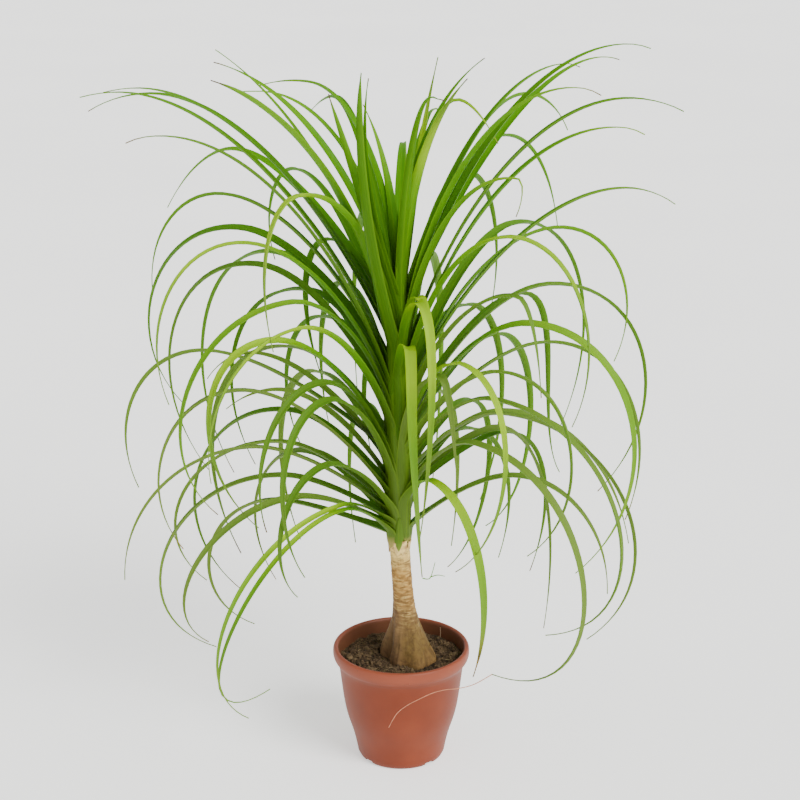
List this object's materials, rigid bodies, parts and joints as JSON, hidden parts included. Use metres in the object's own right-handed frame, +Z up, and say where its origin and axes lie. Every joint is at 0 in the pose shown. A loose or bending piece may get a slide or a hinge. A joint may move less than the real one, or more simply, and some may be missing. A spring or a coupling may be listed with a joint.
{
  "type": "potted ponytail palm",
  "caption": "Potted ponytail palm: plastic nursery pot filled with soil, woody trunk swollen at the base, and a leafy stem of long arching strap leaves.",
  "frame": {"origin": "middle of the pot's flat underside, on its axis", "axes": "+Z up along the pot's axis; -Y is the side seen in the reference view, +X to its right"},
  "size_m": [0.5633, 0.4571, 0.73],
  "materials": {
    "pot": "matte",
    "soil": "rough",
    "bark": "rough",
    "leaf": "satin"
  },
  "bodies": {
    "root": {"pot": "pot", "soil": "soil", "trunk": "bark", "leafy_stem": "leaf"}
  },
  "joints": []
}
